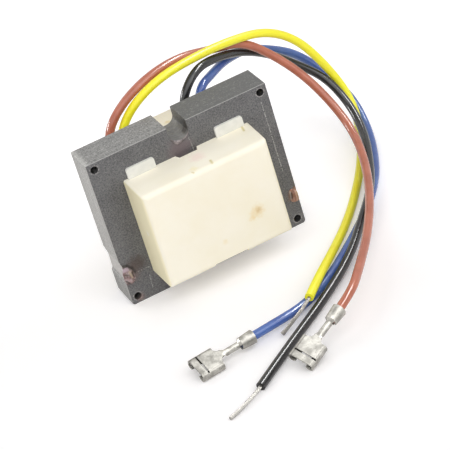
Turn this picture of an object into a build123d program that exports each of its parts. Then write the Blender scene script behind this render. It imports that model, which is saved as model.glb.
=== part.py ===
"""Open-frame control transformer with four flying leads.

Millimetres. X runs along the width of the laminations, Z is up, and the front
cover faces -Y. The origin is the middle of the core's foot, half way through
the stack.
"""

import math
import os

from build123d import *

os.makedirs("parts", exist_ok=True)

# Core, an E and I lamination pair with a 3/4 in tongue, butted and not interleaved
tongue_width = 19.05
leg_width = 9.525
window_width = 9.525
window_height = 28.575
yoke_height = 9.525
lamination_gauge = 0.76
lamination_count = 15
hole_diameter = 2.3
hole_inset = 2.2
corner_break = 0.1
foot_corner_break = 0.6

# Weld seats pressed into the lamination outline
notch_width = 6.05
notch_depth = 5.4
groove_height = 6.0
foot_groove_height = 2.2
groove_depth = 1.5

# Weld metal
top_bead_height = 0.7
top_cap_radius = 2.1
top_cap_height = 0.45
top_cap_lift = 0.3
left_bead_sink = 0.5
right_bead_sink = 0.0
left_cap_radius = 2.6
right_cap_radius = 2.2
rear_cap_radius = 1.9
side_cap_height = 0.7
side_cap_inset = 1.2
side_cap_lift = 0.2

# Bobbin, split into two winding bays
coil_play = 0.4
stack_play = 0.25
bobbin_wall = 0.9
bobbin_corner = 0.5
flange_thickness = 1.0
flange_clearance = 0.15
flange_corner = 1.2
flange_rim = 0.35
bobbin_headroom = 1.05
lower_bay_height = 13.4
lip_width = 8.8
lip_thickness = 0.8
lip_reach = 4.65
lip_corner = 0.8

# Windings and the tape round them
winding_build = 5.1
winding_corner = 3.0
tape_thickness = 0.3

# Moulded covers
cover_wall = 1.2
cover_side_fit = 0.3
cover_top_fit = 0.2
cover_drop = 1.375
front_cover_depth = 13.2
rear_cover_depth = 17.3
cover_draft = 1.0
cover_front_round = 1.6
cover_side_round = 0.6
lip_slot_clearance = 0.1
rim_notch_width = 6.8
rim_notch_depth = 1.8
rim_notch_slant = 0.6
land_width = 10.6
land_relief = 1.0
land_length = 4.0
lead_hole_clearance = 0.4

# Leads, their splices and their stripped ends
lead_diameter = 2.6
conductor_diameter = 1.2
splice_diameter = 3.2
splice_length = 10.0
splice_side_gap = 0.8
left_lead_pitch = 3.8
right_lead_inset = 6.2
right_lead_pitch = 5.0
left_lead_lean = 0.4
right_lead_lean = 0.6
lead_start_drop = 5.45
lead_exit_rise = 0.55

# Push-on receptacles for a 6.3 mm tab, folded from one strip
stock = 0.4
receptacle_width = 7.7
receptacle_height = 2.9
receptacle_length = 7.2
side_bend = 0.95
curl_radius = 0.95
curl_lip_radius = 1.0
curl_lip_turn = 75.0
slit_setback = 2.2
slit_width = 0.5
slit_length = 6.8
shoulder_radius = 1.4
shoulder_turn = 75.0
neck_width = 2.4
neck_length = 1.3
neck_wrap = 150.0
wire_barrel_length = 4.2
barrel_gap = 0.7
barrel_strip_wrap = 110.0
insulation_barrel_length = 4.3
insulation_overhang = 0.5
insulation_grip = 0.05
barrel_flare = 0.3
barrel_seam_angle = 30.0
wing_gap_angle = 55.0
wing_gap_turn = 50.0
wing_tip_bend = 0.35
wing_tip_turn = 60.0
brown_terminal_roll = -27.0
blue_terminal_roll = -20.0

# Levels and half sizes that follow from the sizes above
core_half = tongue_width / 2 + window_width + leg_width
core_height = window_height + 2 * yoke_height
joint = yoke_height
window_top = joint + window_height
stack = lamination_gauge * lamination_count
face = stack / 2
hole_x = core_half - hole_inset
notch_floor = core_height - notch_depth
notch_centre = notch_floor + notch_width / 2

coil_x = coil_play
bore_x = tongue_width / 2 + coil_play
bore_y = face + stack_play
tube_x = bore_x + bobbin_wall
tube_y = bore_y + bobbin_wall
winding_x = tube_x + winding_build
winding_y = tube_y + winding_build
tape_x = winding_x + tape_thickness
tape_y = winding_y + tape_thickness
flange_x = tongue_width / 2 + window_width - coil_play - flange_clearance
flange_y = tape_y + flange_rim
bobbin_bottom = joint + flange_clearance
bobbin_top = window_top - bobbin_headroom
lower_bay_bottom = bobbin_bottom + flange_thickness
lower_bay_top = lower_bay_bottom + lower_bay_height
upper_bay_bottom = lower_bay_top + flange_thickness
upper_bay_top = bobbin_top - flange_thickness
lip_top = bobbin_top + lip_reach
lip_x = flange_x - lip_width / 2
lip_middle = (upper_bay_top + lip_top) / 2

cover_x = flange_x + cover_side_fit + cover_wall
cover_top = bobbin_top + cover_top_fit + cover_wall
cover_bottom = bobbin_bottom - cover_drop - cover_wall
cover_height = cover_top - cover_bottom
cover_middle = (cover_top + cover_bottom) / 2

# Where the leads start beside the flanges and leave the rear cover
lead_y = flange_y + splice_diameter / 2
lead_start = cover_top - lead_start_drop
lead_exit = cover_top + lead_exit_rise
brown_x = coil_x - cover_x + cover_wall + splice_side_gap + splice_diameter / 2
yellow_x = brown_x + left_lead_pitch
blue_x = coil_x + cover_x - cover_wall - right_lead_inset
black_x = blue_x - right_lead_pitch

# Lead routes from the splice to the end of the insulation
brown_route = [
    (brown_x, lead_y, lead_start), (brown_x + left_lead_lean, lead_y, lead_exit),
    (-13.3, 14.5, 45.2), (-6.3, 15.8, 50.2), (4.1, 19.0, 52.6), (15.2, 22.5, 52.0),
    (26.2, 25.5, 48.2), (36.2, 27.2, 45.6), (44.1, 26.8, 37.3), (50.5, 24.0, 28.5),
    (54.8, 18.5, 19.0), (56.0, 10.0, 11.5), (52.0, -4.0, 8.7), (44.5, -21.0, 7.8),
    (34.5, -38.0, 7.5), (24.3, -52.6, 8.4), (16.55, -62.8, 8.95), (8.0, -66.5, 6.65),
]
yellow_route = [
    (yellow_x, lead_y, lead_start), (yellow_x + left_lead_lean, lead_y, lead_exit),
    (-8.8, 14.3, 44.8), (-2.5, 14.6, 49.5), (6.9, 16.8, 51.7), (18.9, 20.1, 51.2),
    (31.9, 24.3, 49.0), (44.0, 28.0, 45.3), (53.5, 30.0, 37.5), (60.2, 30.6, 25.5),
    (64.7, 29.5, 13.1), (63.3, 23.0, 5.9), (57.0, 11.0, 2.4), (48.5, -2.0, 1.3),
    (37.0, -17.5, 1.3), (24.5, -32.0, 2.9), (15.5, -42.0, 4.3), (9.3, -48.7, 4.3),
]
black_route = [
    (black_x, lead_y, lead_start), (black_x + right_lead_lean, lead_y, lead_exit),
    (11.0, 14.6, 45.0), (17.1, 17.5, 48.7), (25.1, 22.0, 47.6), (35.2, 27.6, 41.8),
    (45.2, 32.1, 36.7), (54.1, 33.9, 29.2), (59.4, 30.3, 20.2), (62.1, 23.6, 12.8),
    (60.5, 14.0, 8.3), (56.5, 3.5, 6.0), (49.0, -11.5, 4.4), (38.2, -25.2, 4.0),
    (27.8, -36.8, 2.3), (12.5, -49.0, 1.3), (-3.0, -60.2, 1.3), (-18.0, -71.9, 1.3),
]
blue_route = [
    (blue_x, lead_y, lead_start), (blue_x + right_lead_lean, lead_y, lead_exit),
    (16.2, 15.0, 44.2), (21.5, 19.0, 45.9), (29.0, 27.0, 42.1), (38.9, 34.8, 38.0),
    (48.6, 38.6, 35.2), (57.4, 40.9, 27.2), (64.1, 38.4, 18.2), (68.0, 32.0, 9.5),
    (67.0, 23.0, 3.6), (62.0, 11.0, 1.8), (54.5, -2.5, 1.3), (44.5, -16.0, 1.3),
    (32.7, -28.0, 1.3), (20.5, -39.0, 1.3), (8.3, -47.4, 1.8), (-3.35, -50.3, 2.7),
    (-13.85, -51.75, 2.75),
]
yellow_strip_route = [yellow_route[-1], (6.0, -52.2, 4.3), (-2.9, -54.6, 1.4)]
black_strip_route = [black_route[-1], (-22.2, -75.2, 1.3), (-30.1, -77.7, 0.62)]

front_face = Plane.XZ.offset(face)
rear_face = Plane(origin=(0, face, 0), x_dir=(-1, 0, 0), z_dir=(0, 1, 0))

# E laminations: yoke on top, three legs down, notched and grooved for welding
with BuildPart() as e_lamination:
    with BuildSketch(front_face.offset(-lamination_gauge)):
        with BuildLine():
            Polyline(
                (0, joint),
                (tongue_width / 2, joint),
                (tongue_width / 2, window_top),
                (tongue_width / 2 + window_width, window_top),
                (tongue_width / 2 + window_width, joint),
                (core_half - groove_depth, joint),
                (core_half, joint + groove_height),
                (core_half, core_height - corner_break),
                (core_half - corner_break, core_height),
                (0, core_height),
            )
            mirror(about=Plane.YZ)
        make_face()
        with Locations((-hole_x, core_height - hole_inset), (hole_x, core_height - hole_inset)):
            Circle(hole_diameter / 2, mode=Mode.SUBTRACT)
        with Locations((0, notch_centre)):
            Circle(notch_width / 2, mode=Mode.SUBTRACT)
        with Locations((0, (notch_centre + core_height) / 2)):
            Rectangle(notch_width, core_height - notch_centre, mode=Mode.SUBTRACT)
    extrude(amount=lamination_gauge)

# I laminations: the foot strip that closes the magnetic path
with BuildPart() as i_lamination:
    with BuildSketch(front_face.offset(-lamination_gauge)):
        with BuildLine():
            Polyline(
                (0, 0),
                (core_half - foot_corner_break, 0),
                (core_half, foot_corner_break),
                (core_half, joint - foot_groove_height),
                (core_half - groove_depth, joint),
                (0, joint),
            )
            mirror(about=Plane.YZ)
        make_face()
        with Locations((-hole_x, hole_inset), (hole_x, hole_inset)):
            Circle(hole_diameter / 2, mode=Mode.SUBTRACT)
    extrude(amount=lamination_gauge)

steps = [Pos(0, i * lamination_gauge, 0) for i in range(lamination_count)]
e_laminations = Compound(label="e_laminations", children=[step * e_lamination.part for step in steps])
i_laminations = Compound(label="i_laminations", children=[step * i_lamination.part for step in steps])


def ball_radius(cap_radius, cap_height):
    """Radius of the ball whose cap has this rim radius and height."""
    return (cap_radius**2 + cap_height**2) / (2 * cap_height)


# Weld metal on the floor of the top notch, spread a little over the front face
with BuildPart() as top_weld:
    with BuildSketch(front_face.offset(-stack)):
        with Locations((0, notch_centre)):
            Circle(notch_width / 2)
        with Locations((0, notch_floor + top_bead_height / 2)):
            Rectangle(notch_width, top_bead_height, mode=Mode.INTERSECT)
    extrude(amount=stack)
with BuildPart() as top_cap:
    ball = ball_radius(top_cap_radius, top_cap_height)
    with Locations((0, ball - top_cap_height - face, notch_floor + top_cap_lift)):
        Sphere(ball)
    split(bisect_by=front_face, keep=Keep.TOP)
    split(bisect_by=Plane.XY.offset(notch_floor + top_bead_height), keep=Keep.BOTTOM)
with BuildPart() as top_weld_whole:
    add(top_weld.part)
    add(top_cap.part)


def side_weld(side, front_radius, sink):
    """Bead laid in the groove at one end of the E to I joint, with a lump at each face."""
    edge = side * core_half
    skin = edge - side * sink
    fill = 1 - sink / groove_depth
    ball_front = ball_radius(front_radius, side_cap_height)
    ball_rear = ball_radius(rear_cap_radius, side_cap_height)
    cap_x = edge - side * side_cap_inset
    with BuildPart() as bead:
        with BuildSketch(front_face.offset(-stack)):
            with BuildLine():
                apex = (edge - side * groove_depth, joint)
                low = (skin, joint - foot_groove_height * fill)
                high = (skin, joint + groove_height * fill)
                Polyline(apex, low, high, close=True)
            make_face()
        extrude(amount=stack)
    with BuildPart() as front_lump:
        with Locations((cap_x, ball_front - side_cap_height - face, joint + side_cap_lift)):
            Sphere(ball_front)
        split(bisect_by=front_face, keep=Keep.TOP)
        split(bisect_by=Plane.YZ.offset(edge), keep=Keep.BOTTOM if side > 0 else Keep.TOP)
    with BuildPart() as rear_lump:
        with Locations((cap_x, face + side_cap_height - ball_rear, joint)):
            Sphere(ball_rear)
        split(bisect_by=rear_face, keep=Keep.TOP)
        split(bisect_by=Plane.YZ.offset(edge), keep=Keep.BOTTOM if side > 0 else Keep.TOP)
    with BuildPart() as whole:
        add(bead.part)
        add(front_lump.part)
        add(rear_lump.part)
    return whole


left_weld = side_weld(-1, left_cap_radius, left_bead_sink)
right_weld = side_weld(1, right_cap_radius, right_bead_sink)

# Bobbin: a tube on the tongue, three flanges and four lips flat on the core
with BuildPart() as bobbin:
    with BuildSketch(Plane.XY.offset(bobbin_bottom)):
        with Locations((coil_x, 0)):
            RectangleRounded(2 * tube_x, 2 * tube_y, bobbin_corner)
            Rectangle(2 * bore_x, 2 * bore_y, mode=Mode.SUBTRACT)
    extrude(amount=bobbin_top - bobbin_bottom)
    with BuildSketch(
        Plane.XY.offset(bobbin_bottom), Plane.XY.offset(lower_bay_top), Plane.XY.offset(upper_bay_top)
    ):
        with Locations((coil_x, 0)):
            RectangleRounded(2 * flange_x, 2 * flange_y, flange_corner)
            Rectangle(2 * bore_x, 2 * bore_y, mode=Mode.SUBTRACT)
    extrude(amount=flange_thickness)
    with BuildSketch(front_face):
        with Locations((coil_x - lip_x, lip_middle), (coil_x + lip_x, lip_middle)):
            RectangleRounded(lip_width, lip_top - upper_bay_top, lip_corner)
    extrude(amount=lip_thickness)
    with BuildSketch(rear_face):
        with Locations((-coil_x - lip_x, lip_middle), (-coil_x + lip_x, lip_middle)):
            RectangleRounded(lip_width, lip_top - upper_bay_top, lip_corner)
    extrude(amount=lip_thickness)

# Enamelled wire, wound full in each bay
with BuildPart() as primary_winding:
    with BuildSketch(Plane.XY.offset(lower_bay_bottom)):
        with Locations((coil_x, 0)):
            RectangleRounded(2 * winding_x, 2 * winding_y, winding_corner)
            RectangleRounded(2 * tube_x, 2 * tube_y, bobbin_corner, mode=Mode.SUBTRACT)
    extrude(amount=lower_bay_height)

with BuildPart() as secondary_winding:
    with BuildSketch(Plane.XY.offset(upper_bay_bottom)):
        with Locations((coil_x, 0)):
            RectangleRounded(2 * winding_x, 2 * winding_y, winding_corner)
            RectangleRounded(2 * tube_x, 2 * tube_y, bobbin_corner, mode=Mode.SUBTRACT)
    extrude(amount=upper_bay_top - upper_bay_bottom)

# Tape wrapped round each winding
with BuildPart() as primary_tape:
    with BuildSketch(Plane.XY.offset(lower_bay_bottom)):
        with Locations((coil_x, 0)):
            RectangleRounded(2 * tape_x, 2 * tape_y, winding_corner + tape_thickness)
            RectangleRounded(2 * winding_x, 2 * winding_y, winding_corner, mode=Mode.SUBTRACT)
    extrude(amount=lower_bay_height)

with BuildPart() as secondary_tape:
    with BuildSketch(Plane.XY.offset(upper_bay_bottom)):
        with Locations((coil_x, 0)):
            RectangleRounded(2 * tape_x, 2 * tape_y, winding_corner + tape_thickness)
            RectangleRounded(2 * winding_x, 2 * winding_y, winding_corner, mode=Mode.SUBTRACT)
    extrude(amount=upper_bay_top - upper_bay_bottom)


def cover(depth, middle):
    """Moulded cover in its own frame: rim at z = 0, y up, open towards the core."""
    slot_depth = lip_thickness + lip_slot_clearance
    slot_width = lip_width + 2 * lip_slot_clearance
    notch_wide = rim_notch_width / 2
    notch_narrow = notch_wide - rim_notch_slant
    drawn_in = depth * math.tan(math.radians(cover_draft))
    with BuildPart() as shell:
        with BuildSketch(Plane.XY):
            with Locations((middle, cover_middle)):
                Rectangle(2 * cover_x, cover_height)
        extrude(amount=depth, taper=cover_draft)
        crown = shell.faces().sort_by(Axis.Z)[-1].edges()
        rim = shell.faces().sort_by(Axis.Z)[0].edges()
        fillet([e for e in shell.edges() if e not in crown and e not in rim], cover_side_round)
        fillet(shell.faces().sort_by(Axis.Z)[-1].edges(), cover_front_round)
        with BuildSketch(Plane.XY):
            with Locations((middle, cover_middle)):
                Rectangle(2 * (cover_x - cover_wall), cover_height - 2 * cover_wall)
        extrude(amount=depth - cover_wall, taper=cover_draft, mode=Mode.SUBTRACT)
        with BuildSketch(Plane.XY):
            with Locations((middle - lip_x, cover_top), (middle + lip_x, cover_top)):
                Rectangle(slot_width, 3 * cover_wall)
        extrude(amount=slot_depth, mode=Mode.SUBTRACT)
        with BuildSketch(Plane.XZ.offset(-cover_top)):
            with BuildLine():
                Polyline(
                    (middle - notch_wide, 0),
                    (middle + notch_wide, 0),
                    (middle + notch_narrow, rim_notch_depth),
                    (middle - notch_narrow, rim_notch_depth),
                    close=True,
                )
            make_face()
        extrude(amount=2 * cover_wall, both=True, mode=Mode.SUBTRACT)
        with BuildSketch(Plane.XY.offset(depth)):
            with Locations((middle, cover_bottom)):
                Rectangle(land_width, 2 * (land_relief + drawn_in))
        extrude(amount=-land_length, mode=Mode.SUBTRACT)
    return shell


front_shell = cover(front_cover_depth, coil_x)
rear_shell = cover(rear_cover_depth, -coil_x)

with BuildPart() as front_cover:
    add(Location(front_face) * front_shell.part)

# The rear cover is drilled along its top wall, one hole for each lead
with BuildPart() as rear_cover:
    add(Location(rear_face) * rear_shell.part)
    with BuildSketch(Plane.XY.offset(cover_top + cover_wall)):
        for route in (brown_route, yellow_route, black_route, blue_route):
            with Locations(route[1][:2]):
                Circle(lead_diameter / 2 + lead_hole_clearance)
    extrude(amount=-3 * cover_wall, mode=Mode.SUBTRACT)


def corner_radii(route):
    """Largest tangent radius at each corner that uses 0.45 of the shorter run beside it."""
    points = [Vector(*p) for p in route]
    radii = []
    for a, b, c in zip(points, points[1:], points[2:]):
        turn = math.radians((b - a).get_angle(c - b))
        radii.append(0.45 * min((b - a).length, (c - b).length) / math.tan(turn / 2))
    return radii


def round_rod(route, diameter):
    """Round rod along straight runs joined by tangent arcs."""
    with BuildPart() as rod:
        with BuildLine() as path:
            FilletPolyline(*route, radius=corner_radii(route))
        spine = path.wire()
        with BuildSketch(Plane(spine @ 0, z_dir=spine % 0)):
            Circle(diameter / 2)
        sweep(path=spine)
    share = rod.part.volume / (spine.length * math.pi * diameter**2 / 4)
    print("rod length", round(spine.length, 1), "volume over section x length", round(share, 4))
    print("  corner radii", [round(r, 1) for r in corner_radii(route)])
    return rod


def splice(route):
    """Sleeve over the joint between a lead and the winding, against the flanges."""
    first = Vector(*route[1]) - Vector(*route[0])
    with BuildPart() as sleeve:
        with BuildSketch(Plane(route[0], z_dir=-first)):
            Circle(splice_diameter / 2)
        extrude(amount=splice_length)
    return sleeve


brown_lead = round_rod(brown_route, lead_diameter)
yellow_lead = round_rod(yellow_route, lead_diameter)
black_lead = round_rod(black_route, lead_diameter)
blue_lead = round_rod(blue_route, lead_diameter)

brown_splice = splice(brown_route)
yellow_splice = splice(yellow_route)
black_splice = splice(black_route)
blue_splice = splice(blue_route)

yellow_strands = round_rod(yellow_strip_route, conductor_diameter)
black_strands = round_rod(black_strip_route, conductor_diameter)

# Receptacle in its own frame: x towards the nose, base on top, lead end at the origin
insulation_radius = lead_diameter / 2 + insulation_grip + stock / 2
wire_radius = conductor_diameter / 2 + stock / 2
base_top = wire_radius + stock / 2
base_middle = base_top - stock / 2
wire_barrel_start = insulation_overhang + barrel_gap
wire_barrel_end = wire_barrel_start + wire_barrel_length
shoulder_start = wire_barrel_end + neck_length
receptacle_start = shoulder_start + shoulder_radius * math.sin(math.radians(shoulder_turn))
nose = receptacle_start + receptacle_length
bend_start = receptacle_width / 2 - stock / 2 - side_bend
side_drop = receptacle_height - stock - side_bend - curl_radius

with BuildPart() as receptacle:
    with BuildSketch(Plane.YZ.offset(receptacle_start)):
        with BuildLine():
            flat = Line((0, base_middle), (bend_start, base_middle))
            bend = JernArc(start=flat @ 1, tangent=flat % 1, radius=side_bend, arc_size=-90)
            side = Line(bend @ 1, bend @ 1 - (0, side_drop))
            curl = JernArc(start=side @ 1, tangent=side % 1, radius=curl_radius, arc_size=-90)
            JernArc(start=curl @ 1, tangent=curl % 1, radius=curl_lip_radius, arc_size=-curl_lip_turn)
            mirror(about=Plane.YZ)
        trace(line_width=stock)
    extrude(amount=receptacle_length)
    with BuildSketch(Plane.XY.offset(base_top)):
        with BuildLine():
            start = Line((shoulder_start, 0), (shoulder_start, neck_width / 2))
            flare = JernArc(start=start @ 1, tangent=(1, 0), radius=shoulder_radius, arc_size=shoulder_turn)
            Line(flare @ 1, (receptacle_start, 0))
            mirror(about=Plane.XZ)
        make_face()
    extrude(amount=-stock)
    with BuildSketch(Plane.YZ.offset(wire_barrel_start)):
        with BuildLine():
            CenterArc((0, 0), wire_radius, barrel_seam_angle / 2 - 90, 360 - barrel_seam_angle)
        trace(line_width=stock)
    extrude(amount=wire_barrel_length)
    with BuildSketch(Plane.YZ.offset(wire_barrel_end)):
        with BuildLine():
            CenterArc((0, 0), wire_radius, 90 - neck_wrap / 2, neck_wrap)
        trace(line_width=stock)
    with BuildSketch(Plane.YZ.offset(shoulder_start)):
        with BuildLine():
            Line((neck_width / 2, base_middle), (-neck_width / 2, base_middle))
        trace(line_width=stock)
    loft()
    for place, radius in (
        (insulation_overhang, insulation_radius),
        (insulation_overhang - insulation_barrel_length, insulation_radius + barrel_flare),
    ):
        with BuildSketch(Plane.YZ.offset(place)):
            with BuildLine():
                first = wing_gap_turn - 90 + wing_gap_angle / 2
                wrap = CenterArc((0, 0), radius, first, 360 - wing_gap_angle)
                JernArc(start=wrap @ 1, tangent=wrap % 1, radius=wing_tip_bend, arc_size=-wing_tip_turn)
                JernArc(start=wrap @ 0, tangent=-(wrap % 0), radius=wing_tip_bend, arc_size=wing_tip_turn)
            trace(line_width=stock)
    loft()
    with BuildSketch(Plane.YZ.offset(insulation_overhang)):
        with BuildLine():
            CenterArc((0, 0), insulation_radius, 90 - barrel_strip_wrap / 2, barrel_strip_wrap)
        trace(line_width=stock)
    with BuildSketch(Plane.YZ.offset(wire_barrel_start)):
        with BuildLine():
            CenterArc((0, 0), wire_radius, 90 - barrel_strip_wrap / 2, barrel_strip_wrap)
        trace(line_width=stock)
    loft()
    with BuildSketch(Plane.XY.offset(base_top)):
        with Locations((nose - slit_setback, 0)):
            Rectangle(slit_width, slit_length)
    extrude(amount=-2 * stock, mode=Mode.SUBTRACT)

# Stripped conductor held in the wire barrel
with BuildPart() as crimped_strands:
    with BuildSketch(Plane.YZ):
        Circle(conductor_diameter / 2)
    extrude(amount=wire_barrel_end + stock)


def lead_end(route, roll):
    """Frame at the end of a lead: x on along the lead, base of the receptacle on top."""
    along = (Vector(*route[-1]) - Vector(*route[-2])).normalized()
    up = Vector(0, 0, 1) - along * along.Z
    frame = Plane(origin=route[-1], x_dir=along, z_dir=up)
    return Location(frame) * Rot(roll, 0, 0)


brown_end = lead_end(brown_route, brown_terminal_roll)
blue_end = lead_end(blue_route, blue_terminal_roll)

with BuildPart() as brown_terminal:
    add(brown_end * receptacle.part)
with BuildPart() as blue_terminal:
    add(blue_end * receptacle.part)
with BuildPart() as brown_strands:
    add(brown_end * crimped_strands.part)
with BuildPart() as blue_strands:
    add(blue_end * crimped_strands.part)

top_weld_whole.part.label = "top_weld"
left_weld.part.label = "left_weld"
right_weld.part.label = "right_weld"
bobbin.part.label = "bobbin"
primary_winding.part.label = "primary_winding"
secondary_winding.part.label = "secondary_winding"
primary_tape.part.label = "primary_tape"
secondary_tape.part.label = "secondary_tape"
front_cover.part.label = "front_cover"
rear_cover.part.label = "rear_cover"
brown_lead.part.label = "brown_lead"
yellow_lead.part.label = "yellow_lead"
black_lead.part.label = "black_lead"
blue_lead.part.label = "blue_lead"
brown_splice.part.label = "brown_splice"
yellow_splice.part.label = "yellow_splice"
black_splice.part.label = "black_splice"
blue_splice.part.label = "blue_splice"
brown_strands.part.label = "brown_strands"
yellow_strands.part.label = "yellow_strands"
black_strands.part.label = "black_strands"
blue_strands.part.label = "blue_strands"
brown_terminal.part.label = "brown_terminal"
blue_terminal.part.label = "blue_terminal"

export_step(e_laminations, "parts/e_laminations.step")
export_step(i_laminations, "parts/i_laminations.step")
export_step(top_weld_whole.part, "parts/top_weld.step")
export_step(left_weld.part, "parts/left_weld.step")
export_step(right_weld.part, "parts/right_weld.step")
export_step(bobbin.part, "parts/bobbin.step")
export_step(primary_winding.part, "parts/primary_winding.step")
export_step(secondary_winding.part, "parts/secondary_winding.step")
export_step(primary_tape.part, "parts/primary_tape.step")
export_step(secondary_tape.part, "parts/secondary_tape.step")
export_step(front_cover.part, "parts/front_cover.step")
export_step(rear_cover.part, "parts/rear_cover.step")
export_step(brown_lead.part, "parts/brown_lead.step")
export_step(yellow_lead.part, "parts/yellow_lead.step")
export_step(black_lead.part, "parts/black_lead.step")
export_step(blue_lead.part, "parts/blue_lead.step")
export_step(brown_splice.part, "parts/brown_splice.step")
export_step(yellow_splice.part, "parts/yellow_splice.step")
export_step(black_splice.part, "parts/black_splice.step")
export_step(blue_splice.part, "parts/blue_splice.step")
export_step(brown_strands.part, "parts/brown_strands.step")
export_step(yellow_strands.part, "parts/yellow_strands.step")
export_step(black_strands.part, "parts/black_strands.step")
export_step(blue_strands.part, "parts/blue_strands.step")
export_step(brown_terminal.part, "parts/brown_terminal.step")
export_step(blue_terminal.part, "parts/blue_terminal.step")
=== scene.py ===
"""Control transformer on a pale floor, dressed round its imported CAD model."""

import bpy
import numpy as np
from mathutils import Matrix, Vector


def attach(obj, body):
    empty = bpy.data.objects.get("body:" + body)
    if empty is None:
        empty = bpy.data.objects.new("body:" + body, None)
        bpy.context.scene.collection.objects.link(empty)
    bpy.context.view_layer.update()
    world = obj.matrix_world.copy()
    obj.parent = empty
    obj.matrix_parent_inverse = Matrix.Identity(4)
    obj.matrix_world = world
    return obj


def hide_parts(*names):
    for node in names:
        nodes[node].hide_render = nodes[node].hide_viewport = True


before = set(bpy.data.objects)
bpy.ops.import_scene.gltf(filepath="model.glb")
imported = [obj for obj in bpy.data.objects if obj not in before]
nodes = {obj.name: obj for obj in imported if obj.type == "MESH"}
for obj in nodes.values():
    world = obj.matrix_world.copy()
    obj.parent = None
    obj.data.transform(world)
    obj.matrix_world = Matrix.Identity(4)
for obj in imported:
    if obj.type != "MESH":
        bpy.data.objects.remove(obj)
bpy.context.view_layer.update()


# Core: E and I punchings of blued electrical steel, stacked all one way so that
# the E yokes are on top and the I strips make the foot, then held by three welds.
# The sheared edges are paler than the broad faces and no two line up exactly.
LAMINATION_GAUGE = 0.76e-3
LAMINATION_COUNT = 15
CORE_FRONT = -0.5 * LAMINATION_GAUGE * LAMINATION_COUNT
CORE_TOP = 47.625e-3
CORE_HALF = 28.575e-3
JOINT_HEIGHT = 9.525e-3
HOLE_INSET = 2.2e-3
HOLE_RADIUS = 1.15e-3
EDGE_SCATTER = 0.012e-3
EDGE_BREAK = 0.035e-3


def fitted_piece(name, node, points, faces):
    """Mesh of points and faces on the one body, in place of its CAD node."""
    mesh = bpy.data.meshes.new(name)
    mesh.from_pydata(points.reshape(-1, 3).tolist(), [], faces)
    mesh.update()
    piece = bpy.data.objects.new(name, mesh)
    bpy.context.scene.collection.objects.link(piece)
    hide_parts(node)
    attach(piece, "root")
    return piece


def stacked_laminations(name, node, seed):
    """Copy of a stack's triangles, welded within each lamination, each slipped a little.

    Lamination index = floor((y of the face centre - front - half a gauge step along
    the face normal) / gauge); every index gets its own small x and z slip.
    """
    source = nodes[node].data
    source.calc_loop_triangles()
    corners = np.zeros(len(source.loop_triangles) * 3, dtype=np.int64)
    source.loop_triangles.foreach_get("vertices", corners)
    points = np.zeros(len(source.vertices) * 3)
    source.vertices.foreach_get("co", points)
    tri = points.reshape(-1, 3)[corners.reshape(-1, 3)]
    normal = np.cross(tri[:, 1] - tri[:, 0], tri[:, 2] - tri[:, 0])
    normal /= np.linalg.norm(normal, axis=1, keepdims=True)
    depth = tri[:, :, 1].mean(1) - CORE_FRONT - 0.5 * LAMINATION_GAUGE * np.round(normal[:, 1])
    index = np.clip(np.floor(depth / LAMINATION_GAUGE), 0, LAMINATION_COUNT - 1).astype(int)
    keys = np.concatenate([np.repeat(index, 3)[:, None] * 1.0, np.round(tri.reshape(-1, 3), 7)], axis=1)
    unique, inverse = np.unique(keys, axis=0, return_inverse=True)
    slip = np.random.default_rng(seed).normal(0, EDGE_SCATTER, (LAMINATION_COUNT, 2))
    slip = np.clip(slip, -2 * EDGE_SCATTER, 2 * EDGE_SCATTER)
    slip[:, 1] = np.abs(slip[:, 1])
    verts = unique[:, 1:].copy()
    verts[:, 0] += slip[unique[:, 0].astype(int), 0]
    verts[:, 2] += slip[unique[:, 0].astype(int), 1]
    piece = fitted_piece(name, node, verts, inverse.reshape(-1, 3).tolist())
    bevel = piece.modifiers.new("sheared edge", "BEVEL")
    bevel.width = EDGE_BREAK
    bevel.segments = 1
    bevel.limit_method = "ANGLE"
    bevel.angle_limit = np.radians(50)
    return piece


def new_node(tree, kind, values=(), **settings):
    """Adds a node, sets its plain settings, and sets or links each named input."""
    node = tree.nodes.new(kind)
    for key, value in settings.items():
        setattr(node, key, value)
    for key, value in dict(values).items():
        if isinstance(value, bpy.types.NodeSocket):
            tree.links.new(value, node.inputs[key])
        else:
            node.inputs[key].default_value = value
    return node


def math_node(tree, operation, first, second=0.0, third=0.0):
    """One Math node's output."""
    return new_node(tree, "ShaderNodeMath", {0: first, 1: second, 2: third}, operation=operation).outputs[0]


def vector_node(tree, operation, first, second=(0.0, 0.0, 0.0), output="Vector", scale=None):
    """One Vector Math node's output."""
    values = {0: first, 1: second}
    if scale is not None:
        values["Scale"] = scale
    return new_node(tree, "ShaderNodeVectorMath", values, operation=operation).outputs[output]


def object_place(tree):
    """The point of the surface in its piece's own coordinates."""
    return tree.nodes.new("ShaderNodeTexCoord").outputs["Object"]


def split(tree, vector):
    """The x, y and z outputs of a vector."""
    return new_node(tree, "ShaderNodeSeparateXYZ", {0: vector}).outputs


def facing(tree):
    """The x, y and z outputs of the surface's normal."""
    return split(tree, tree.nodes.new("ShaderNodeNewGeometry").outputs["Normal"])


def ramp(tree, value, low, high, out_low=0.0, out_high=1.0):
    """Smooth step from out_low at low to out_high at high."""
    values = {0: value, 1: low, 2: high, 3: out_low, 4: out_high}
    return new_node(tree, "ShaderNodeMapRange", values, interpolation_type="SMOOTHSTEP").outputs[0]


def tint(tree, factor, base, top):
    """Base colour going over to the top colour as the factor goes from 0 to 1."""
    mix = new_node(tree, "ShaderNodeMix", {0: factor, 6: base, 7: top}, data_type="RGBA")
    return mix.outputs[2]


def painted(tree, mask, strength, base, top):
    """Base colour with the top colour laid on at a strength where the mask is 1."""
    return tint(tree, math_node(tree, "MULTIPLY", mask, strength), base, top)


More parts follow.
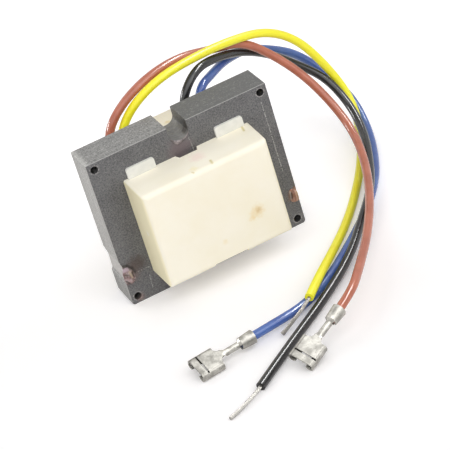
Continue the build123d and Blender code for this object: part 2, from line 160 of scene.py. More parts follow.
def finish_material(name, roughness, metallic=0.0):
    """Empty Principled material; returns it with its tree and its shader."""
    material = bpy.data.materials.new(name)
    material.use_nodes = True
    tree = material.node_tree
    shader = tree.nodes["Principled BSDF"]
    shader.inputs["Roughness"].default_value = roughness
    shader.inputs["Metallic"].default_value = metallic
    return material, tree, shader


def dress(tree, shader, colour, roughness=None, height=None, strength=0.0, depth=0.0):
    """Feeds a shader its colour and, where they are given, a roughness and a bump."""
    tree.links.new(colour, shader.inputs["Base Color"])
    if roughness is not None:
        tree.links.new(roughness, shader.inputs["Roughness"])
    if height is not None:
        bump = new_node(tree, "ShaderNodeBump", {"Strength": strength, "Distance": depth, "Height": height})
        tree.links.new(bump.outputs[0], shader.inputs["Normal"])


def effect_group(name, inputs, outputs):
    """New shader node group with named sockets; returns its tree, input and output nodes."""
    group = bpy.data.node_groups.new(name, "ShaderNodeTree")
    for label, kind, value in inputs:
        socket = group.interface.new_socket(label, in_out="INPUT", socket_type=kind)
        socket.default_value = value
    for label, kind in outputs:
        group.interface.new_socket(label, in_out="OUTPUT", socket_type=kind)
    return group, group.nodes.new("NodeGroupInput"), group.nodes.new("NodeGroupOutput")


def place_group(tree, group, values):
    """Outputs of a shared effect, put into a material with its own values."""
    return new_node(tree, "ShaderNodeGroup", values, node_tree=group).outputs


# Ragged round patch: 1 inside the radius, 0 outside, its rim broken up by noise
ragged_patch, patch_in, patch_out = effect_group(
    "ragged patch",
    [
        ("Centre", "NodeSocketVector", (0, 0, 0)),
        ("Radius", "NodeSocketFloat", 0.002),
        ("Core", "NodeSocketFloat", 0.4),
        ("Ragged", "NodeSocketFloat", 0.5),
        ("Scale", "NodeSocketFloat", 900.0),
    ],
    [("Mask", "NodeSocketFloat")],
)
patch_place = object_place(ragged_patch)
patch_noise = new_node(
    ragged_patch, "ShaderNodeTexNoise",
    {"Vector": patch_place, "Scale": patch_in.outputs["Scale"], "Detail": 3.0},
).outputs["Fac"]
patch_far = vector_node(ragged_patch, "DISTANCE", patch_place, patch_in.outputs["Centre"], output="Value")
patch_share = math_node(ragged_patch, "DIVIDE", patch_far, patch_in.outputs["Radius"])
patch_break = math_node(ragged_patch, "SUBTRACT", patch_noise, 0.5)
patch_rim = math_node(ragged_patch, "MULTIPLY_ADD", patch_break, patch_in.outputs["Ragged"], patch_share)
patch_fill = ramp(ragged_patch, patch_rim, 1.0, patch_in.outputs["Core"])
ragged_patch.links.new(patch_fill, patch_out.inputs["Mask"])

# Fine stroke: 1 on the straight line between two points, 0 beyond its width
fine_stroke, stroke_in, stroke_out = effect_group(
    "fine stroke",
    [
        ("From", "NodeSocketVector", (0, 0, 0)),
        ("To", "NodeSocketVector", (0, 0, 0.01)),
        ("Width", "NodeSocketFloat", 0.0003),
    ],
    [("Mask", "NodeSocketFloat")],
)
stroke_arm = vector_node(fine_stroke, "SUBTRACT", object_place(fine_stroke), stroke_in.outputs["From"])
stroke_run = vector_node(fine_stroke, "SUBTRACT", stroke_in.outputs["To"], stroke_in.outputs["From"])
stroke_dot = vector_node(fine_stroke, "DOT_PRODUCT", stroke_arm, stroke_run, output="Value")
stroke_square = vector_node(fine_stroke, "DOT_PRODUCT", stroke_run, stroke_run, output="Value")
stroke_share = math_node(fine_stroke, "DIVIDE", stroke_dot, stroke_square)
stroke_along = new_node(fine_stroke, "ShaderNodeClamp", {"Value": stroke_share}).outputs[0]
stroke_foot = vector_node(fine_stroke, "SCALE", stroke_run, scale=stroke_along)
stroke_off = vector_node(fine_stroke, "DISTANCE", stroke_arm, stroke_foot, output="Value")
stroke_fill = ramp(fine_stroke, stroke_off, stroke_in.outputs["Width"], 0.0)
fine_stroke.links.new(stroke_fill, stroke_out.inputs["Mask"])

# Grain: a fine and a coarse noise, for colour, roughness and bump
surface_grain, grain_in, grain_out = effect_group(
    "surface grain",
    [("Fine scale", "NodeSocketFloat", 4000.0), ("Coarse scale", "NodeSocketFloat", 250.0)],
    [("Fine", "NodeSocketFloat"), ("Coarse", "NodeSocketFloat")],
)
grain_place = object_place(surface_grain)
for grain_label in ("Fine", "Coarse"):
    grain_scale = grain_in.outputs[grain_label + " scale"]
    grain_noise = new_node(
        surface_grain, "ShaderNodeTexNoise",
        {"Vector": grain_place, "Scale": grain_scale, "Detail": 4.0, "Roughness": 0.6},
    )
    surface_grain.links.new(grain_noise.outputs["Fac"], grain_out.inputs[grain_label])


def patch_mask(tree, centre, radius, core, ragged, scale):
    """Mask of one ragged patch in a material."""
    values = {"Centre": centre, "Radius": radius, "Core": core, "Ragged": ragged, "Scale": scale}
    return place_group(tree, ragged_patch, values)["Mask"]


def stroke_mask(tree, start, end, width):
    """Mask of one fine stroke in a material."""
    return place_group(tree, fine_stroke, {"From": start, "To": end, "Width": width})["Mask"]


def front_stroke(tree, start, end, width, ahead=0.0):
    """Mask of a stroke between two (x, z) points of the core's front, or ahead of it."""
    level = CORE_FRONT - ahead
    return stroke_mask(tree, (start[0], level, start[1]), (end[0], level, end[1]), width)


def grained(tree, fine_scale, coarse_scale):
    """The fine and the coarse noise of the grain in a material."""
    grain = place_group(tree, surface_grain, {"Fine scale": fine_scale, "Coarse scale": coarse_scale})
    return grain["Fine"], grain["Coarse"]


def sheared_edges(tree, place, speck):
    """Colour of the edges: paler on the left end, partly as painted light, darker right of
    the notch as painted shade and darker on the foot's end, each sheet a touch different,
    with a dark seam between sheets."""
    sheets = math_node(tree, "DIVIDE", math_node(tree, "SUBTRACT", place[1], CORE_FRONT), LAMINATION_GAUGE)
    sheet_index = math_node(tree, "FLOOR", sheets)
    sheet_tone = new_node(tree, "ShaderNodeTexWhiteNoise", {"W": sheet_index}, noise_dimensions="1D")
    off_middle = math_node(tree, "SUBTRACT", math_node(tree, "FRACT", sheets), 0.5)
    seam = ramp(tree, math_node(tree, "ABSOLUTE", off_middle), 0.38, 0.48)
    left_end = ramp(tree, place[0], -0.0266, -0.0282)
    right_block_shade = ramp(tree, place[0], -0.002, 0.004)
    below_joint = ramp(tree, place[2], JOINT_HEIGHT, JOINT_HEIGHT - 0.002)
    foot_end = math_node(tree, "MULTIPLY", left_end, below_joint)
    seam_depth = math_node(tree, "MULTIPLY_ADD", left_end, -0.16, -0.10)
    light = math_node(tree, "MULTIPLY_ADD", speck, 1.3, 0.22)
    # The lift on the left end is partly painted light; the darkening right of the notch is painted shade.
    for share, weight in (
        (sheet_tone.outputs["Value"], 0.10),
        (left_end, 0.37),
        (right_block_shade, -0.31),
        (foot_end, -0.30),
        (seam, seam_depth),
    ):
        light = math_node(tree, "MULTIPLY_ADD", share, weight, light)
    return tint(tree, light, (0.10, 0.10, 0.096, 1), (0.56, 0.55, 0.525, 1))


def blued_faces(tree, fine, speck, cloud):
    """Colour of the broad faces: dark blueing with fine mottle, bright specks and scratches."""
    light = math_node(tree, "MULTIPLY_ADD", speck, 2.0, 0.36)
    light = math_node(tree, "MULTIPLY_ADD", cloud, 0.6, light)
    colour = tint(tree, light, (0.068, 0.068, 0.072, 1), (0.26, 0.258, 0.258, 1))
    colour = tint(tree, ramp(tree, fine, 0.73, 0.79), colour, (0.50, 0.50, 0.49, 1))
    for start, end, width in (
        ((-0.0214, 0.0027), (-0.0211, 0.0068), 0.00024),
        ((0.0259, 0.0425), (0.0262, 0.0190), 0.00020),
        ((0.0024, 0.0420), (0.0028, 0.0372), 0.00024),
        ((-0.0255, 0.0097), (-0.0205, 0.0094), 0.00024),
    ):
        scratch = front_stroke(tree, start, end, width)
        broken = math_node(tree, "MULTIPLY", scratch, ramp(tree, fine, 0.4, 0.56))
        colour = painted(tree, broken, 0.85, colour, (0.52, 0.51, 0.49, 1))
    return colour


def hole_distance(tree, point):
    """Distance from the axis of the nearest corner hole."""
    flat = vector_node(tree, "MULTIPLY", point, (1.0, 0.0, 1.0))
    nearest = 1.0
    for hole_x in (HOLE_INSET - CORE_HALF, CORE_HALF - HOLE_INSET):
        for hole_z in (HOLE_INSET, CORE_TOP - HOLE_INSET):
            away = vector_node(tree, "DISTANCE", flat, (hole_x, 0.0, hole_z), output="Value")
            nearest = math_node(tree, "MINIMUM", away, nearest)
    return nearest


def blued_steel():
    """Blued sheet with sheared edges, bright rims round holes whose bores are painted dark as
    shade, heat tints round the welds, dark patches on the notch's right wall, a painted shadow
    arc by the left weld, and pale front edges that are partly burr and partly a painted highlight."""
    material, tree, shader = finish_material("blued core steel", 0.5, 0.35)
    fine, coarse = grained(tree, 2300.0, 160.0)
    speck = math_node(tree, "SUBTRACT", fine, 0.5)
    cloud = math_node(tree, "SUBTRACT", coarse, 0.5)
    point = object_place(tree)
    place = split(tree, point)
    hole = hole_distance(tree, point)
    rim = ramp(tree, hole, HOLE_RADIUS + 0.45e-3, HOLE_RADIUS + 0.08e-3)
    rim = math_node(tree, "MULTIPLY", rim, ramp(tree, fine, 0.38, 0.6))
    face = painted(tree, rim, 0.75, blued_faces(tree, fine, speck, cloud), (0.44, 0.42, 0.41, 1))
    broad = ramp(tree, math_node(tree, "ABSOLUTE", facing(tree)[1]), 0.45, 0.75)
    colour = tint(tree, broad, sheared_edges(tree, place, speck), face)
    # Painted shade: the bore of each corner hole is painted near black.
    bore_shade = ramp(tree, hole, HOLE_RADIUS + 0.03e-3, HOLE_RADIUS - 0.02e-3)
    colour = tint(tree, bore_shade, colour, (0.055, 0.054, 0.053, 1))
    # Heat tints round the welds, then two dark patches on the notch's right wall.
    for centre, radius, heat_colour, strength in (
        ((-0.0266, CORE_FRONT, 0.0100), 0.0042, (0.20, 0.135, 0.12, 1), 0.7),
        ((-0.0236, CORE_FRONT, 0.0122), 0.0040, (0.075, 0.055, 0.048, 1), 0.75),
        ((-0.0010, CORE_FRONT, 0.0402), 0.0052, (0.165, 0.128, 0.138, 1), 0.8),
        ((0.0270, CORE_FRONT, 0.0100), 0.0028, (0.20, 0.115, 0.08, 1), 0.6),
        ((-0.0256, CORE_FRONT, 0.0015), 0.0018, (0.30, 0.20, 0.18, 1), 0.5),
        ((0.0030, -0.0040, 0.0455), 0.0023, (0.050, 0.043, 0.036, 1), 0.85),
        ((0.0029, -0.0026, 0.0434), 0.0019, (0.070, 0.060, 0.052, 1), 0.75),
    ):
        heat = patch_mask(tree, centre, radius, 0.25, 0.8, 700.0)
        colour = painted(tree, heat, strength, colour, heat_colour)
    # Painted shadow: a dark arc round the upper right of the left weld's lump, where it overhangs the face.
    shadow_arc_points = ((-0.0282, 0.0134), (-0.0266, 0.0129), (-0.0254, 0.0115), (-0.0248, 0.0098))
    for start, end in zip(shadow_arc_points, shadow_arc_points[1:]):
        arc_shadow = front_stroke(tree, start, end, 0.0008)
        colour = painted(tree, arc_shadow, 0.8, colour, (0.03, 0.026, 0.023, 1))
    # Pale front edges along the top and the left end: partly a bright burr, partly a painted highlight.
    front_near = ramp(tree, place[1], CORE_FRONT + 0.18e-3, CORE_FRONT + 0.06e-3)
    top_near = ramp(tree, place[2], CORE_TOP - 0.18e-3, CORE_TOP - 0.06e-3)
    left_near = ramp(tree, place[0], 0.20e-3 - CORE_HALF, 0.07e-3 - CORE_HALF)
    worn = math_node(tree, "MULTIPLY", front_near, math_node(tree, "MAXIMUM", top_near, left_near))
    colour = painted(tree, worn, 0.45, colour, (0.62, 0.61, 0.59, 1))
    dress(tree, shader, colour, ramp(tree, coarse, 0.3, 0.7, 0.45, 0.6), fine, 0.25, 0.00004)
    return material


core_steel = blued_steel()
for core_name, core_node, slip_seed in (
    ("e_stack", "e_laminations", 11),
    ("i_stack", "i_laminations", 12),
):
    core_piece = stacked_laminations(core_name, core_node, slip_seed)
    core_piece.data.materials.append(core_steel)


# Welds: three short beads run across the stack, one on the round floor of the top notch
# and one at each end of the E to I joint, where the E's corner is cut away. Each starts
# in a low lump on the front face, and the bare metal has tinted pink and brown.
def wrapped_rows(rows, first):
    """Quads between neighbouring loops with a cap on each end.

    Loops turn from +X towards +Z and the rows follow one another towards +Y.
    """
    count, turns = rows.shape[:2]
    start = first + np.arange(count - 1)[:, None] * turns
    here = (start + np.arange(turns)[None, :]).reshape(-1)
    beside = (start + (np.arange(turns) + 1)[None, :] % turns).reshape(-1)
    quads = np.stack([here, here + turns, beside + turns, beside], axis=1).tolist()
    near = first + np.arange(turns)
    return quads + [near.tolist(), (near + (count - 1) * turns)[::-1].tolist()]


def welded_piece(name, node, skins, metal):
    """One smooth mesh of closed skins, in place of a weld's CAD node."""
    firsts = np.cumsum([0] + [rows.shape[0] * rows.shape[1] for rows in skins])
    faces = [face for rows, first in zip(skins, firsts) for face in wrapped_rows(rows, first)]
    points = np.concatenate([rows.reshape(-1, 3) for rows in skins])
    piece = fitted_piece(name, node, points, faces)
    piece.data.shade_smooth()
    piece.data.materials.append(metal)


def weld_lump(centre, half_x, half_z, height, face, phase):
    """Low dome on the front (face -1) or rear (face 1) of the stack.

    With f from 0 at the crown to a right angle at the foot: point = centre +
    (half_x o(a) sin f cos a, face height cos f (1 + r(a, f)), half_z o(a) sin f sin a),
    where o is a lobed outline and r crossing ridges; a last loop goes into the core.
    """
    foot_bury = 0.0003
    fall = np.radians(np.concatenate([np.linspace(5, 90, 26), [90]]))[:, None]
    angle = np.linspace(0, 2 * np.pi, 56, endpoint=False)[None, :]
    outline = 1 + 0.12 * np.sin(2 * angle + phase) + 0.05 * np.sin(3 * angle - 1.7 * phase)
    outline = outline + 0.02 * np.sin(7 * angle + 2.3 * phase) + 0.02 * np.sin(11 * angle)
    ridges = 0.22 * np.sin(3 * angle + 4.5 * fall + phase) * np.sin(fall)
    ridges = ridges + 0.16 * np.sin(5 * angle - 7 * fall + 2 * phase) * np.sin(fall)
    ridges = ridges + 0.10 * np.sin(2 * angle + 13 * fall) * np.sin(fall)
    rise = height * np.cos(fall) * (1 + ridges)
    rise[-1] = -foot_bury
    rows = np.stack(
        [
            np.clip(centre[0] + half_x * outline * np.sin(fall) * np.cos(angle), -CORE_HALF, CORE_HALF),
            centre[1] + face * rise,
            centre[2] + half_z * outline * np.sin(fall) * np.sin(angle),
        ],
        axis=-1,
    )
    return rows if face < 0 else rows[::-1]


def groove_fill(side, sink):
    """Metal in the groove at one end of the joint.

    A triangle (root of the groove, foot and top of the fill) swept along Y and drawn in
    by d k^4 (0.6 + 0.4 sin(2 pi y / pitch + 900 z)) sin(pi h), where k goes from 0 at the
    root to 1 on the outer skin and h from 0 to 1 up the fill.
    """
    groove_depth, groove_height, foot_height = 0.0015, 0.0060, 0.0022
    root_bury, end_reach = 0.00004, 0.00002
    ripple_pitch, ripple_depth = 0.0012, 0.00012
    fill = 1 - sink / groove_depth
    foot, top = -foot_height * fill, groove_height * fill
    corners = np.array([[-groove_depth - root_bury, 0.0], [-sink, foot], [-sink, top]])
    share = np.linspace(0, 1, 16, endpoint=False)[:, None]
    loop = np.concatenate([corners[i] * (1 - share) + corners[(i + 1) % 3] * share for i in range(3)])
    across = np.linspace(CORE_FRONT - end_reach, -CORE_FRONT + end_reach, 70)[:, None]
    skin = np.clip((loop[:, 0] + groove_depth) / (groove_depth - sink), 0, 1)[None, :]
    ripple = 0.6 + 0.4 * np.sin(2 * np.pi * across / ripple_pitch + 900 * loop[:, 1][None, :])
    height = np.clip((loop[:, 1] - foot) / (top - foot), 0, 1)[None, :]
    hollow = ripple_depth * skin**4 * ripple * np.sin(np.pi * height)
    rows = np.stack(
        [
            side * (CORE_HALF + loop[:, 0][None, :] - hollow),
            np.repeat(across, len(loop), axis=1),
            np.repeat(JOINT_HEIGHT + loop[:, 1][None, :], len(across), axis=0),
        ],
        axis=-1,
    )
    return rows if side > 0 else rows[:, ::-1]


def notch_film():
    """Film along the round floor of the notch, with a lip hanging over the front face.

    In the section at y the skin runs at radius R + b(a, y) under the floor and back at
    R - t(a, y) above it, a being the angle from straight down. b is the lip in front of
    the face and a thin bury behind it; t is rippled and thins out towards both ends.
    """
    notch_depth, floor_radius = 5.4e-3, 3.025e-3
    lip_reach, lip_least, lip_drop = 0.31e-3, 0.10e-3, 0.80e-3
    film_least, film_depth, film_bury = 0.02e-3, 0.38e-3, 0.12e-3
    floor_centre = CORE_TOP - notch_depth + floor_radius
    angle = np.linspace(-1.2, 1.2, 49)[None, :]
    ahead = np.array([0.30, 0.29, 0.26, 0.21, 0.14, 0.06])
    across = CORE_FRONT + 1e-3 * np.concatenate([-ahead, np.linspace(0.03, 11.42, 60)])[:, None]
    swell = np.sqrt(np.clip(1 - (np.clip(CORE_FRONT - across, 0, 1) / lip_reach) ** 2, 0, 1))
    drip = np.exp(-(((angle + 0.30) / 0.50) ** 2))
    lip = lip_least + lip_drop * drip * (1 + 0.25 * np.sin(11 * angle))
    bury = np.where(across < CORE_FRONT, lip * swell, film_bury)
    ripple = 1 + 0.15 * np.sin(5200 * across + 2 * angle)
    film = film_depth * np.cos(angle * np.pi / 2.4) ** 2 * ripple + film_least
    film = np.where(across < CORE_FRONT, film * swell, film)
    radius = np.concatenate([floor_radius + bury, (floor_radius - film)[:, ::-1]], axis=1)
    round_angle = np.concatenate([angle, angle[:, ::-1]], axis=1)
    return np.stack(
        [
            radius * np.sin(round_angle),
            across + 0 * radius,
            floor_centre - radius * np.cos(round_angle),
        ],
        axis=-1,
    )


def weld_metal(name, flank, pale, tinge, dark, lump_top, shade, streaks):
    """Plain metal along the flank; pale ridges, a tinge and dark pits on the front lump.

    The lump's look stops at lump_top, a dark patch lies at the shade point, and each
    streak runs between two (x, z) points of the front with its own width and colour.
    """
    material, tree, shader = finish_material(name, 0.5, 0.3)
    fine, coarse = grained(tree, 1300.0, 620.0)
    place = split(tree, object_place(tree))
    lump = tint(tree, ramp(tree, coarse, 0.42, 0.56), tinge, pale)
    lump = tint(tree, ramp(tree, fine, 0.55, 0.64, 0.0, 0.6), lump, dark)
    for start, end, width, streak_colour in streaks:
        streak = front_stroke(tree, start, end, width, 0.0003)
        lump = painted(tree, streak, 0.9, lump, streak_colour)
    mottle = math_node(tree, "MULTIPLY_ADD", fine, 0.8, -0.25)
    side = tint(tree, mottle, flank, (0.05, 0.05, 0.05, 1))
    front = ramp(tree, place[1], CORE_FRONT + 0.0005, CORE_FRONT - 0.0001)
    below = ramp(tree, place[2], lump_top + 0.0005, lump_top - 0.0003)
    metal = tint(tree, math_node(tree, "MULTIPLY", front, below), side, lump)
    patch = patch_mask(tree, shade, 0.0022, 0.2, 0.7, 900.0)
    colour = painted(tree, patch, 0.65, metal, dark)
    dress(tree, shader, colour, ramp(tree, coarse, 0.3, 0.7, 0.35, 0.65), coarse, 0.5, 0.0001)
    return material


left_metal = weld_metal(
    "left weld metal",
    flank=(0.54, 0.52, 0.50, 1),
    pale=(0.42, 0.34, 0.34, 1),
    tinge=(0.20, 0.125, 0.12, 1),
    dark=(0.025, 0.018, 0.017, 1),
    lump_top=0.0130,
    shade=(-0.0252, CORE_FRONT, 0.0124),
    streaks=[
        ((-0.0282, 0.0120), (-0.0268, 0.0119), 0.0011, (0.43, 0.34, 0.39, 1)),
        ((-0.0280, 0.0104), (-0.0269, 0.0100), 0.0006, (0.05, 0.04, 0.03, 1)),
        ((-0.0266, 0.0108), (-0.0262, 0.0090), 0.0007, (0.48, 0.39, 0.29, 1)),
        ((-0.0276, 0.0090), (-0.0268, 0.0076), 0.0007, (0.42, 0.30, 0.30, 1)),
        ((-0.0283, 0.0084), (-0.0274, 0.0073), 0.0005, (0.06, 0.05, 0.045, 1)),
        ((-0.0258, 0.0104), (-0.0257, 0.0090), 0.0005, (0.05, 0.04, 0.035, 1)),
    ],
)
left_skins = [
    groove_fill(-1, 0.0005),
    weld_lump((-0.0270, CORE_FRONT, 0.0095), 0.0016, 0.0032, 0.00055, -1, 2.0),
    weld_lump((-0.0266, -CORE_FRONT, 0.0098), 0.0012, 0.0018, 0.00015, 1, 1.9),
]
welded_piece("left_bead", "left_weld", left_skins, left_metal)

right_metal = weld_metal(
    "right weld metal",
    flank=(0.17, 0.165, 0.16, 1),
    pale=(0.42, 0.26, 0.19, 1),
    tinge=(0.28, 0.135, 0.09, 1),
    dark=(0.04, 0.022, 0.015, 1),
    lump_top=0.0124,
    shade=(0.0252, CORE_FRONT, 0.0102),
    streaks=[
        ((0.02640, 0.0116), (0.02605, 0.0092), 0.0004, (0.46, 0.44, 0.41, 1)),
        ((0.02675, 0.0110), (0.02655, 0.0095), 0.0005, (0.03, 0.02, 0.015, 1)),
        ((0.0276, 0.0118), (0.0274, 0.0090), 0.0005, (0.22, 0.10, 0.07, 1)),
        ((0.0280, 0.0112), (0.0279, 0.0080), 0.0005, (0.52, 0.35, 0.27, 1)),
        ((0.0284, 0.0108), (0.0285, 0.0078), 0.0004, (0.44, 0.30, 0.17, 1)),
    ],
)
right_skins = [
    groove_fill(1, 0.0),
    weld_lump((0.0273, CORE_FRONT, 0.0098), 0.0014, 0.0025, 0.00045, -1, 2.2),
    weld_lump((0.0266, -CORE_FRONT, 0.0097), 0.0012, 0.0018, 0.00015, 1, 0.4),
]
welded_piece("right_bead", "right_weld", right_skins, right_metal)

top_metal = weld_metal(
    "top weld metal",
    flank=(0.20, 0.195, 0.187, 1),
    pale=(0.26, 0.225, 0.225, 1),
    tinge=(0.16, 0.14, 0.14, 1),
    dark=(0.05, 0.042, 0.037, 1),
    lump_top=0.0440,
    shade=(0.0027, -0.0034, 0.0436),
    streaks=[((-0.0018, 0.0423), (0.0002, 0.0412), 0.0005, (0.34, 0.29, 0.30, 1))],
)
welded_piece("top_film", "top_weld", [notch_film()], top_metal)


# Bobbin: one moulding of natural nylon on the tongue, with three flanges inside the
# covers. Its four lips reach up out of slots in the covers and lie on the core faces.
bobbin_nylon, nylon_tree, nylon_shader = finish_material("natural nylon", 0.42)
nylon_fine, nylon_coarse = grained(nylon_tree, 2500.0, 220.0)
nylon_cloud = ramp(nylon_tree, nylon_coarse, 0.3, 0.7)
nylon_colour = tint(nylon_tree, nylon_cloud, (0.74, 0.74, 0.69, 1), (0.84, 0.83, 0.78, 1))
nylon_roughness = ramp(nylon_tree, nylon_coarse, 0.3, 0.7, 0.36, 0.5)
dress(nylon_tree, nylon_shader, nylon_colour, nylon_roughness, nylon_fine, 0.2, 0.00003)
nodes["bobbin"].material_slots[0].material = bobbin_nylon


# Windings: enamelled copper wire laid turn on turn in the two bays of the bobbin,
# with a few layers of amber polyester tape round each. The covers hide them.
def coarse_grain(tree, scale):
    """The coarse noise of the grain alone, for a material with no fine texture."""
    return place_group(tree, surface_grain, {"Coarse scale": scale})["Coarse"]


def wound_copper(name, wire_pitch):
    """Enamelled wire: a round ridge for each turn, repeated up the bay, with painted shade in the grooves
    between turns.
    """
    material, tree, shader = finish_material(name, 0.3, 0.9)
    place = split(tree, object_place(tree))
    turn = math_node(tree, "FRACT", math_node(tree, "DIVIDE", place[2], wire_pitch))
    ridge = math_node(tree, "SINE", math_node(tree, "MULTIPLY", turn, np.pi))
    # Painted shade: the colour darkens into the grooves between turns.
    colour = tint(tree, ridge, (0.22, 0.07, 0.03, 1), (0.66, 0.28, 0.12, 1))
    colour = painted(tree, coarse_grain(tree, 300.0), 0.4, colour, (0.45, 0.16, 0.06, 1))
    dress(tree, shader, colour, None, ridge, 0.8, 0.0002)
    return material


nodes["primary_winding"].material_slots[0].material = wound_copper("fine primary wire", 0.00022)
nodes["secondary_winding"].material_slots[0].material = wound_copper("thick secondary wire", 0.0008)

amber_tape, tape_tree, tape_shader = finish_material("amber polyester tape", 0.25)
tape_coarse = coarse_grain(tape_tree, 150.0)
tape_colour = tint(tape_tree, tape_coarse, (0.66, 0.46, 0.07, 1), (0.86, 0.70, 0.22, 1))
dress(tape_tree, tape_shader, tape_colour, None, tape_coarse, 0.3, 0.00015)
for tape_node in ("primary_tape", "secondary_tape"):
    nodes[tape_node].material_slots[0].material = amber_tape


# Covers: two drafted nylon mouldings pushed over the coil from front and back, their
# rims on the core faces. The cream has mellowed unevenly and carries a few handling marks.
def cream_nylon():
    """Cream moulding: fine mottle, ends painted yellower and darker as shade, stains and two short gate
    marks.
    """
    material, tree, shader = finish_material("cream cover nylon", 0.45)
    fine, coarse = grained(tree, 2200.0, 90.0)
    cloud = ramp(tree, coarse, 0.3, 0.72)
    colour = tint(tree, cloud, (0.945, 0.885, 0.715, 1), (0.965, 0.915, 0.775, 1))
    colour = tint(tree, ramp(tree, fine, 0.6, 0.9), colour, (0.93, 0.86, 0.66, 1))
    # Painted shade: the faces turned along x, the two ends, are painted yellower and darker.
    end_shade = ramp(tree, math_node(tree, "ABSOLUTE", facing(tree)[0]), 0.6, 0.95)
    colour = painted(tree, end_shade, 0.85, colour, (0.93, 0.85, 0.56, 1))
    for centre, radius, stain_colour, strength in (
        ((0.0113, -0.0189, 0.0184), 0.0030, (0.84, 0.64, 0.30, 1), 0.55),
        ((0.0118, -0.0189, 0.0187), 0.0013, (0.62, 0.40, 0.13, 1), 0.55),
        ((0.0094, -0.0189, 0.0172), 0.0015, (0.86, 0.68, 0.34, 1), 0.5),
        ((-0.0020, -0.0164, 0.0384), 0.0019, (0.92, 0.82, 0.50, 1), 0.6),
        ((-0.0029, -0.0180, 0.0383), 0.0007, (0.60, 0.48, 0.18, 1), 0.8),
        ((0.0036, 0.0150, 0.0384), 0.0015, (0.80, 0.64, 0.28, 1), 0.6),
        ((0.0014, -0.0112, 0.0384), 0.0036, (0.90, 0.73, 0.64, 1), 0.7),
        ((-0.0003, -0.0189, 0.0139), 0.0012, (0.86, 0.72, 0.42, 1), 0.4),
        ((-0.0196, -0.0130, 0.0239), 0.0012, (0.98, 0.96, 0.88, 1), 0.6),
    ):
        stain = patch_mask(tree, centre, radius, 0.1, 1.1, 1100.0)
        colour = painted(tree, stain, strength, colour, stain_colour)
    for start, end, width in (
        ((0.0035, -0.0160, 0.0384), (0.0033, -0.0178, 0.0384), 0.0007),
        ((0.0180, -0.0064, 0.0384), (0.0175, -0.0092, 0.0384), 0.0006),
    ):
        gate = stroke_mask(tree, start, end, width)
        colour = painted(tree, gate, 0.85, colour, (0.62, 0.52, 0.20, 1))
    dress(tree, shader, colour, ramp(tree, coarse, 0.3, 0.7, 0.50, 0.62), fine, 0.22, 0.00004)
    return material


cover_nylon = cream_nylon()
for cover_node in ("front_cover", "rear_cover"):
    nodes[cover_node].material_slots[0].material = cover_nylon


# Splices: shrunk sleeves over the joints between the leads and the windings. They
# stand against the flanges inside the rear cover.
shrunk_sleeve, sleeve_tree, sleeve_shader = finish_material("shrunk sleeve", 0.35)
sleeve_coarse = coarse_grain(sleeve_tree, 300.0)
sleeve_colour = tint(sleeve_tree, sleeve_coarse, (0.70, 0.68, 0.60, 1), (0.88, 0.87, 0.82, 1))
dress(sleeve_tree, sleeve_shader, sleeve_colour, None, sleeve_coarse, 0.4, 0.0001)
for sleeve_node in ("brown_splice", "yellow_splice", "black_splice", "blue_splice"):
    nodes[sleeve_node].material_slots[0].material = shrunk_sleeve


# Leads: stranded hook-up wire in extruded vinyl, four colours, springing out of the
# top of the rear cover and round the right side to the floor in front.
LEAD_RADIUS = 0.0013
brown_route = [
    (-0.0160, 0.0142, 0.0330), (-0.0156, 0.0142, 0.0390), (-0.0133, 0.0145, 0.0452),
    (-0.0063, 0.0158, 0.0502), (0.0041, 0.0190, 0.0526), (0.0152, 0.0225, 0.0520),
    (0.0262, 0.0255, 0.0482), (0.0362, 0.0272, 0.0456), (0.0441, 0.0268, 0.0373),
    (0.0505, 0.0240, 0.0285), (0.0548, 0.0185, 0.0190), (0.0560, 0.0100, 0.0115),
    (0.0520, -0.0040, 0.0087), (0.0445, -0.0210, 0.0078), (0.0345, -0.0380, 0.0075),
    (0.0243, -0.0526, 0.0084), (0.01655, -0.0628, 0.00895), (0.0080, -0.0665, 0.00665),
]
yellow_route = [
    (-0.0122, 0.0142, 0.0330), (-0.0118, 0.0142, 0.0390), (-0.0088, 0.0143, 0.0448),
    (-0.0025, 0.0146, 0.0495), (0.0069, 0.0168, 0.0517), (0.0189, 0.0201, 0.0512),
    (0.0319, 0.0243, 0.0490), (0.0440, 0.0280, 0.0453), (0.0535, 0.0300, 0.0375),
    (0.0602, 0.0306, 0.0255), (0.0647, 0.0295, 0.0131), (0.0633, 0.0230, 0.0059),
    (0.0570, 0.0110, 0.0024), (0.0485, -0.0020, 0.0013), (0.0370, -0.0175, 0.0013),
    (0.0245, -0.0320, 0.0029), (0.0155, -0.0420, 0.0043), (0.0093, -0.0487, 0.0043),
]
black_route = [
    (0.0080, 0.0142, 0.0330), (0.0086, 0.0142, 0.0390), (0.0110, 0.0146, 0.0450),
    (0.0171, 0.0175, 0.0487), (0.0246, 0.0220, 0.0472), (0.0354, 0.0288, 0.0421),
    (0.0444, 0.0321, 0.0359), (0.0529, 0.0339, 0.0273), (0.0594, 0.0303, 0.0209),
    (0.0621, 0.0236, 0.0128), (0.0605, 0.0140, 0.0083), (0.0565, 0.0035, 0.0060),
    (0.0490, -0.0115, 0.0044), (0.0382, -0.0252, 0.0040), (0.0278, -0.0368, 0.0023),
    (0.0125, -0.0490, 0.0013), (-0.0030, -0.0602, 0.0013), (-0.0180, -0.0719, 0.0013),
]
